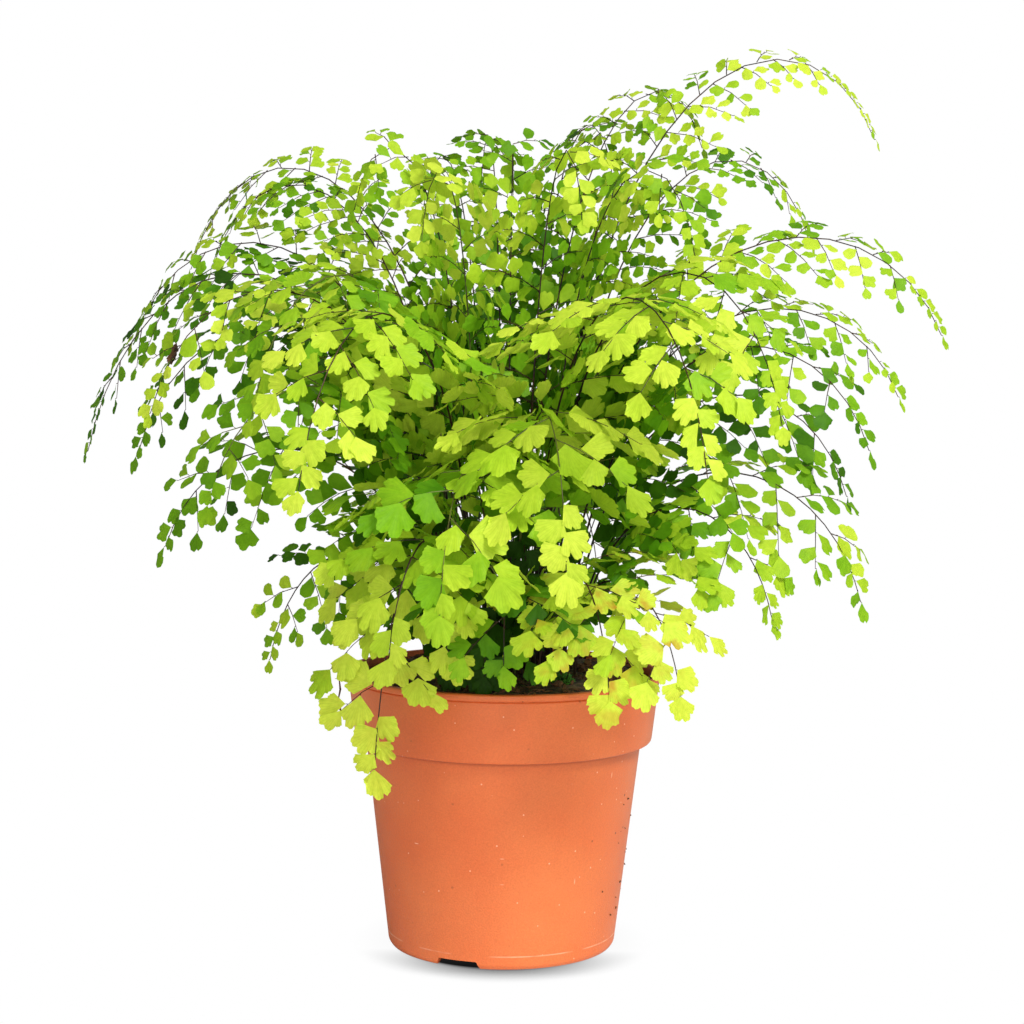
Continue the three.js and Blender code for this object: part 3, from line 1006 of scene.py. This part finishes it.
# One leaflet at a foot point: its length runs along direction and its face looks along normal.
def setLeaflet(frond, foot, direction, normal, width, tint):
    f = frondForm
    draw = frond["draw"]
    name = draw.choice(largeShapes if frond["leaf"] >= f["largeFrom"] else smallShapes)
    across = direction.cross(normal).normalized()
    if draw.random() < 0.5:
        across = -across
    length = width * frond["length"]
    breadth = width * frond["breadth"] * draw.uniform(*f["leafletBreadths"])
    columns = (across * breadth, direction * length, across.cross(direction) * length)
    turn = Matrix([v * mm for v in columns]).transposed().to_4x4()
    turn.translation = foot * mm
    piece = copyOf(leaflets[name])
    piece.matrix_world = turn
    count = len(piece.data.vertices)
    for label, value in (("tint", tint), ("rust", frond["rust"] * draw.random())):
        piece.data.attributes[label].data.foreach_set("value", [value] * count)
    frond["leaflets"].append(piece)


# A leaflet on its short stem, turned away from the branch's heading and drooping a little.
def growLeaflet(frond, start, heading, across, turn, size, lean):
    f = frondForm
    draw = frond["draw"]
    radians = math.radians(turn + draw.uniform(-f["leafletTurn"], f["leafletTurn"]))
    outwards = heading * math.cos(radians) + across * math.sin(radians)
    outwards = (outwards - upward * frond["droop"] * draw.uniform(0.5, 1.5)).normalized()
    looks = heading.cross(across) + lean + scatter(draw, f["flutter"])
    looks = (looks - outwards * looks.dot(outwards)).normalized()
    width = frond["leaf"] * size * draw.uniform(*f["leafletSizes"])
    foot = start + outwards * (width * draw.uniform(*f["leafStalk"])) + looks * f["leafletLift"]
    frond["wires"].append(([start, foot], [f["leafStalkRadius"]] * 2))
    # painted shade: leaflets low and near the pot's axis get a darker tint
    inner = max(0, 1 - foot.xy.length / f["shadeReach"])
    inner *= max(0, 1 - (foot.z - soil["top"]) / f["shadeHeight"])
    tint = frond["tint"] + frond["branchTint"] - f["shade"] * inner
    setLeaflet(frond, foot, outwards, looks, width, tint + draw.gauss(0, f["leafletTint"]))


# A side branch sinks under its leaflets, which sit in turn on its left and right.
def growBranch(frond, share, side, length, roll):
    f = frondForm
    draw = frond["draw"]
    arch = frond["arch"]
    sink = f["branchSink"]
    base = arch.at(share)
    forward = arch.along(share)
    flank = turnedBy(arch.flank, forward, roll)
    wander = draw.uniform(-f["branchWander"], f["branchWander"])
    angle = math.radians(side * (f["branchSpread"] + wander))
    direction = forward * math.cos(angle) + flank * math.sin(angle)
    across = flank * math.cos(angle) - forward * math.sin(angle)
    lean = arch.outward * frond["facing"] * draw.uniform(0.2, 1.8)
    lean += scatter(draw, f["tilt"])

    def pointAt(u):
        return base + direction * u - upward * (sink * u * u / length)

    def headingAt(u):
        return (direction - upward * (2 * sink * u / length)).normalized()

    steps = max(2, round(length / f["branchStep"]))
    points = [pointAt(length * step / steps) for step in range(steps + 1)]
    radii = [f["branchRadius"] * mixed(1, 0.5, step / steps) for step in range(steps + 1)]
    frond["wires"].append((points, radii))
    # partly painted shade: branches lower on the stalk get slightly darker leaflets, those further
    # out slightly brighter; the rest is random tone
    frond["branchTint"] = 0.12 * (share - 0.6) + draw.gauss(0, f["branchTint"])
    gap = frond["gap"]
    for order in range(max(1, round((length - 0.2 * frond["leaf"]) / gap))):
        u = min(gap * (order + 0.6), length)
        turn = (1 if order % 2 else -1) * f["leafletAngle"]
        size = mixed(*f["sizesAlong"], u / length)
        growLeaflet(frond, pointAt(u), headingAt(u), across, turn, size, lean)
    growLeaflet(frond, pointAt(length), headingAt(length), across, 0, f["lastSize"], lean)


# The stalk's last stretch carries single leaflets.
def growTip(frond, share, side, roll):
    f = frondForm
    arch = frond["arch"]
    lean = arch.outward * frond["facing"]
    frond["branchTint"] = f["tipTint"]

    def leafletAt(share, turn, size):
        heading = arch.along(share)
        across = turnedBy(arch.flank, heading, roll)
        growLeaflet(frond, arch.at(share), heading, across, turn, size, lean)

    while share < 0.99:
        size = mixed(0.95, f["tipSize"], (share - f["firstBranch"]) / (1 - f["firstBranch"]))
        leafletAt(share, side * f["leafletAngle"], size)
        side = -side
        share += frond["leaf"] * f["tipGap"] / arch.length
    leafletAt(1, 0, f["tipSize"])


def growFrond(row, index, name, rootRadius):
    f = frondForm
    heading, _, _, _, leaf, spread, tint = row
    draws = seededDraws(index + 1)
    side = 1 if next(draws) < 0.5 else -1
    rolls = [frondRoll(heading) + (next(draws) - 0.5) * f["rollSpread"] for _ in range(4)]
    arch = Arch(row, rootRadius)
    grown = (leaf - leafWidths[0]) / (leafWidths[1] - leafWidths[0])
    frond = {"arch": arch, "leaf": leaf, "tint": tint, "draw": random.Random(index + 100),
             "rust": f["rusty"].get(name, 0.0), "leaflets": [], "wires": []}
    for label, values in byLeafWidth.items():
        frond[label] = mixed(*values, grown)
    frond["gap"] *= leaf
    steps = f["stalkSteps"]
    points = [arch.at(step / steps) for step in range(steps + 1)]
    radius = f["stalkRadius"] * mixed(f["thinnest"], 1, leaf / leafWidths[1])
    radii = [radius * mixed(*f["stalkTaper"], step / steps) for step in range(steps + 1)]
    frond["wires"].append((points, radii))
    share = f["firstBranch"]
    longest = (f["branchBase"] + f["branchPerLeaf"] * leaf) * f["branchLongest"] * spread
    while True:
        left = (1 - share) / (1 - f["firstBranch"])
        length = longest * left ** f["fade"] * frond["draw"].uniform(*f["branchLengths"])
        if length < f["shortestBranch"] * leaf:
            break
        roll = rolls[min(int((1 - left) * 4), 3)]
        roll += frond["draw"].uniform(-f["branchRoll"], f["branchRoll"])
        growBranch(frond, share, side, length, roll)
        side = -side
        share += f["branchGap"] * leaf / arch.length
    growTip(frond, share, side, rolls[3])
    stalk = wires(frond["wires"], name + "Stalks")
    stalk.data.materials.clear()
    stalk.data.materials.append(youngStalkMaterial if name in f["young"] else stalkMaterial)
    leafletCounts.append(len(frond["leaflets"]))
    piece = joined([stalk] + frond["leaflets"], name + "Leafy")
    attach(piece, "root")
    return piece


leafLook = {
    # by tint: on the face, and with light through the leaf
    "tones": ((0.0, "#28480A"), (0.25, "#467C0B"), (0.5, "#80B41B"), (0.75, "#B4D22E"),
              (1.0, "#D4E448")),
    "through": ((0.0, "#46860C"), (0.5, "#80BC16"), (1.0, "#C4DE40")),
    "throughShare": 0.34,
    "fine": (700, 0.3, 0.7),
    "fineShade": (0.78, 0.84, 0.7, 1),
    "broad": (90, 0.3, 0.7),
    "broadShift": 0.06,
    "veins": 44,  # per radian, and how far they wander
    "veinWander": 2.4,
    "vein": "#3C6E12",
    "veinShare": 0.2,
    "veinHeight": 0.12,
    "rust": "#B9782C",
    "stains": (150, 0.48, 0.66),
}


def toneRamp(tree, value, tones):
    ramp = addNode(tree, "ValToRGB", {"Fac": value})
    marks = ramp.color_ramp.elements
    while len(marks) < len(tones):
        marks.new(0.5)
    for mark, (position, code) in zip(marks, tones):
        mark.position = position
        mark.color = sRGB(code)
    return ramp.outputs["Color"]


def attributeOf(tree, name):
    return addNode(tree, "Attribute", attribute_name=name).outputs["Fac"]


def makeLeafMaterial():
    look = leafLook
    material, tree, shader = newMaterial("fernLeaflet")
    where = objectPlace(tree)
    tint = attributeOf(tree, "tint")
    fineColour, fineMask = mottled(tree, where, look["fine"], look["fineShade"])
    _, broad = mottled(tree, where, look["broad"])
    _, stains = mottled(tree, where, look["stains"])
    # radial veins, from the angle in the leaflet's own plane
    plane = partsOf(tree, addNode(tree, "UVMap", uv_map="leafPlace").outputs["UV"])
    side = calc(tree, "SUBTRACT", plane["X"], leafletLook["flatShift"])
    angle = calc(tree, "ARCTAN2", side, plane["Y"])
    wander = times(tree, fineMask, look["veinWander"])
    waves = calc(tree, "ADD", times(tree, angle, look["veins"]), wander)
    veins = rising(tree, calc(tree, "SINE", waves), 0.55, 1.0)
    shift = rising(tree, broad, 0, 1, -look["broadShift"], look["broadShift"])
    base = toneRamp(tree, calc(tree, "ADD", tint, shift), look["tones"])
    base = blended(tree, times(tree, veins, look["veinShare"]), base, sRGB(look["vein"]))
    base = blended(tree, 1.0, base, fineColour, "MULTIPLY")
    stained = times(tree, stains, attributeOf(tree, "rust"))
    base = blended(tree, stained, base, sRGB(look["rust"]))
    feed(tree, shader, {"Base Color": base, "Roughness": 0.54, "Specular IOR Level": 0.14})
    addBump(tree, shader, veins, 0.2, look["veinHeight"])
    glow = addNode(tree, "BsdfTranslucent", {"Color": toneRamp(tree, tint, look["through"])})
    showBoth(tree, look["throughShare"], shader, glow)
    return material


# Stalks and moss: two plain tones that change slowly over the plant.
def twoToneMaterial(name, dark, light):
    material, tree, shader = newMaterial(name)
    tone, _ = mottled(tree, objectPlace(tree), (60, 0.42, 0.75), sRGB(dark), sRGB(light))
    feed(tree, shader, {"Base Color": tone, "Roughness": 0.5, "Specular IOR Level": 0.25})
    return material


leafMaterial = makeLeafMaterial()
stalkMaterial = twoToneMaterial("wiryStalk", "#1C110C", "#4A3018")
youngStalkMaterial = twoToneMaterial("youngStalk", "#3A3A16", "#6E7A2C")
for leaflet in leaflets.values():
    leaflet.data.materials.append(leafMaterial)
leafletCounts = []
for index, row in enumerate(frondRows):
    name = f"frond_{index + 1:02d}"
    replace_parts(growFrond(row, index, name, rootRadiusOf(row, index)), name)
for index, (row, rootRadius) in enumerate(sprigs):
    growFrond(row, 60 + index, f"sprig_{index + 1}", rootRadius)
print("fronds grown with", sum(leafletCounts), "leaflets")


# Small things of the bush and the soil.
trim = {
    "oldStalks": {"count": 110, "tallest": 62, "seed": 31},
    "youngStalks": {"count": 14, "tallest": 130, "seed": 47},
    "stalkReach": 25,
    "stalkRadius": (0.28, 0.5),
    "stalkTaper": (1, 1, 0.9, 0.8, 0.6),
    "mossPlace": (20, -27),
    "mossRadius": 6.0,
    "mossLeaves": 260,
    "strand": [(-59.5, -4, 105.4), (-61.6, -4, 104.2), (-62.6, -3.6, 101), (-62.2, -3.2, 97),
               (-63.0, -3.4, 93), (-62.2, -3.0, 89.5), (-61.8, -3.2, 87.5)],
    "strandRadii": [0.22, 0.3, 0.24, 0.42, 0.24, 0.45, 0.15],
    "spentPlace": (-125, -2, 228),
    "spentTurn": (-100, 20, -60),
    "spentSize": 9,
    "spentBreadth": 0.45,
}


# Dark stubs of earlier fronds, and thin young ones, crowd around the middle.
def bareStalks(name):
    own = trim[name]
    draw = random.Random(own["seed"])
    paths = []
    for _ in range(own["count"]):
        foot = inDisc(draw, trim["stalkReach"])
        foot.z = soilHeight(foot.x, foot.y) - 2
        tall = own["tallest"] * draw.uniform(0.35, 1.0)
        drift = foot.xy.to_3d() * draw.uniform(0.1, 0.5)
        drift += Vector((draw.gauss(0, 3), draw.gauss(0, 3), 0))
        points = [foot + drift * (t * t) + upward * (tall * t) for t in (0, 0.25, 0.5, 0.75, 1)]
        width = draw.uniform(*trim["stalkRadius"])
        paths.append((points, [width * share for share in trim["stalkTaper"]]))
    return wires(paths, name)


# A tuft of tiny leaves that point away from a low dome.
def mossTuft():
    draw = random.Random(5)
    x, y = trim["mossPlace"]
    middle = Vector((x, y, soilHeight(x, y) - 1.5))
    paths = []
    for _ in range(trim["mossLeaves"]):
        outward = Vector((draw.gauss(0, 1), draw.gauss(0, 1), abs(draw.gauss(0, 0.9))))
        outward.normalize()
        start = middle + outward * trim["mossRadius"] * draw.uniform(0.55, 0.95)
        bent = outward + Vector((draw.gauss(0, 0.5), draw.gauss(0, 0.5), draw.gauss(0, 0.4)))
        bent.normalize()
        paths.append(([start, start + bent, start + bent * 1.7], [0.3, 0.36, 0.08]))
    return wires(paths, "mossTuft")


# A fine root hangs outside the rim on the left, with grains of peat on it.
def rootStrand():
    points = [Vector(spot) for spot in trim["strand"]]
    return wires([(points, trim["strandRadii"])], "rootStrand")


# A brown curled leaflet still hangs on a frond at the left.
def spentLeaflet():
    piece = copyOf(leaflets["broadFan"])
    piece.name = "spentLeaflet"
    workOn(piece)
    toMode("EDIT")
    selectAll()
    bpy.ops.transform.resize(value=(trim["spentBreadth"], 1, 1))
    bpy.ops.transform.vertex_random(offset=0.12, uniform=0.3, normal=0.9, seed=4)
    toMode("OBJECT")
    turn = Euler([math.radians(part) for part in trim["spentTurn"]]).to_quaternion()
    size = Vector([trim["spentSize"]] * 3)
    piece.matrix_world = Matrix.LocRotScale(Vector(trim["spentPlace"]) * mm, turn, size * mm)
    settle(piece)
    return piece


mossMaterial = twoToneMaterial("moss", "#1F4A1A", "#4F8A2C")
finishPiece(bareStalks("oldStalks"), stalkMaterial, "fern_leaf")
finishPiece(bareStalks("youngStalks"), youngStalkMaterial, "fern_leaf")
finishPiece(mossTuft(), mossMaterial, "potting_soil")
finishPiece(rootStrand(), bark, "potting_soil")
finishPiece(spentLeaflet(), bark, "fern_leaf")
for shape in leaflets.values():
    removed(shape)
print("small things done")


# Light, floor and backdrop. The lamps' places and sizes are in metres.
lights = {
    "key": {"place": (0.78, -0.95, 1.3), "size": 0.5, "watts": 31, "colour": (1, 0.98, 0.95)},
    "fill": {"place": (-0.2, -1.3, 0.35), "size": 1.2, "watts": 12, "colour": (0.99, 0.99, 1)},
}
lampTarget = (0, 0, 0.18)
backdrop = {
    "white": 1.0,
    "ambient": 0.36,
    "floor": (0.75, 0.75, 0.75, 1),
    # the painted contact shadow in the floor's glow: its reach and levels, the near-black under the
    # pot, and its fade behind
    "contactReach": 18,
    "contactOpen": (0.42, 0.95),  # the floor's openness where the shadow is full and where it ends
    "contactLevel": 0.12,
    "potFoot": (40, 42.5),
    "underPot": 0.02,
    "shadowFade": (-46, -15),  # the shadow falls to the front and fades behind
    "shadowFaded": 0.95,
}


def aimLamp(name, lamp):
    spot = Vector(lamp["place"])
    turn = (Vector(lampTarget) - spot).to_track_quat("-Z", "Y").to_euler()
    bpy.ops.object.light_add(type="AREA", location=spot, rotation=turn)
    made = called(name)
    made.data.size = lamp["size"]
    made.data.energy = lamp["watts"]
    made.data.color = lamp["colour"]


def setWorld():
    world = bpy.data.worlds.new("whiteStudio")
    world.use_nodes = True
    tree = world.node_tree
    seen = addNode(tree, "LightPath").outputs["Is Camera Ray"]
    strength = rising(tree, seen, 0, 1, backdrop["ambient"], backdrop["white"])
    feed(tree, tree.nodes["Background"], {"Color": white, "Strength": strength})
    bpy.context.scene.world = world


# The floor bounces light as a pale matt sheet, and the camera sees it as a white glow with a soft
# contact shadow
# painted into that glow: darker where the pot hems the floor in, mainly at the front, and near
# black under the pot.
def setFloor():
    look = backdrop
    deselectAll()
    bpy.ops.mesh.primitive_plane_add(size=8, location=(0, 0, 0))
    floor = called("studioFloor")
    material, tree, shader = newMaterial("whiteFloor")
    feed(tree, shader, {"Base Color": look["floor"], "Roughness": 1, "Specular IOR Level": 0})
    # painted shadow: the glow darkens where the floor is hemmed in near the pot
    near = addNode(tree, "AmbientOcclusion", {"Distance": look["contactReach"] * mm}, samples=16)
    level = rising(tree, near.outputs["AO"], *look["contactOpen"], look["contactLevel"], 1.0)
    where = addNode(tree, "TexCoord").outputs["Object"]
    # painted shadow: kept in front of the pot and faded behind it
    front, back = look["shadowFade"]
    depth = partsOf(tree, where)["Y"]
    behind = rising(tree, depth, front * mm, back * mm, 0.0, look["shadowFaded"])
    lifted = times(tree, behind, calc(tree, "SUBTRACT", 1.0, level))
    level = calc(tree, "ADD", level, lifted)
    # painted shadow under the pot: the glow is near black inside the foot's ring
    fromAxis = addNode(tree, "VectorMath", {0: where}, operation="LENGTH")
    inner, outer = look["potFoot"]
    under = rising(tree, fromAxis.outputs["Value"], inner * mm, outer * mm, look["underPot"], 1.0)
    level = times(tree, level, under)
    glow = addNode(tree, "Emission", {"Color": white, "Strength": level})
    seen = addNode(tree, "LightPath").outputs["Is Camera Ray"]
    showBoth(tree, seen, shader, glow)
    floor.data.materials.append(material)


for name, lamp in lights.items():
    aimLamp(name, lamp)
setWorld()
setFloor()
bpy.context.scene.view_settings.view_transform = "Standard"
print("light and floor set")
